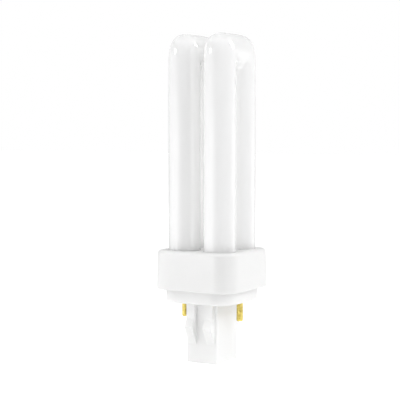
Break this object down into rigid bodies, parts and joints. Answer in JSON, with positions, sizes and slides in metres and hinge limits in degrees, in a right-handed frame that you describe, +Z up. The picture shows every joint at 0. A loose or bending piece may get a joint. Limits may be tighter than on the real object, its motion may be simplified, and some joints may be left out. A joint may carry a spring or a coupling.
{
  "type": "u shaped fluorescent bulb",
  "caption": "Compact fluorescent lamp: parallel white U-bent glass tubes on a rounded square plastic base, with a ribbed plug and brass contact pins.",
  "frame": {"origin": "middle of the base's underside, where the plug leaves it and which seats on the lampholder", "axes": "+Z up the tubes, X through the two contact pins, Y along the plane of each U"},
  "size_m": [0.0332, 0.0332, 0.1184],
  "materials": {
    "phosphor_glass": "clear glass over a white coat",
    "white_plastic": "satin moulding",
    "pin_brass": "bright",
    "starter_glass": "clear",
    "capacitor_case": "dipped",
    "lead_wire": "tinned wire"
  },
  "bodies": {
    "root": {"discharge_tube": "phosphor_glass", "tube_collar": "white_plastic", "plug_housing": "white_plastic", "contact_pin_left": "pin_brass", "contact_pin_right": "pin_brass", "starter_bottle": "starter_glass", "starter_capacitor": "capacitor_case", "pin_lead_left": "lead_wire", "pin_lead_right": "lead_wire", "starter_lead_left": "lead_wire", "starter_lead_right": "lead_wire"}
  },
  "joints": []
}
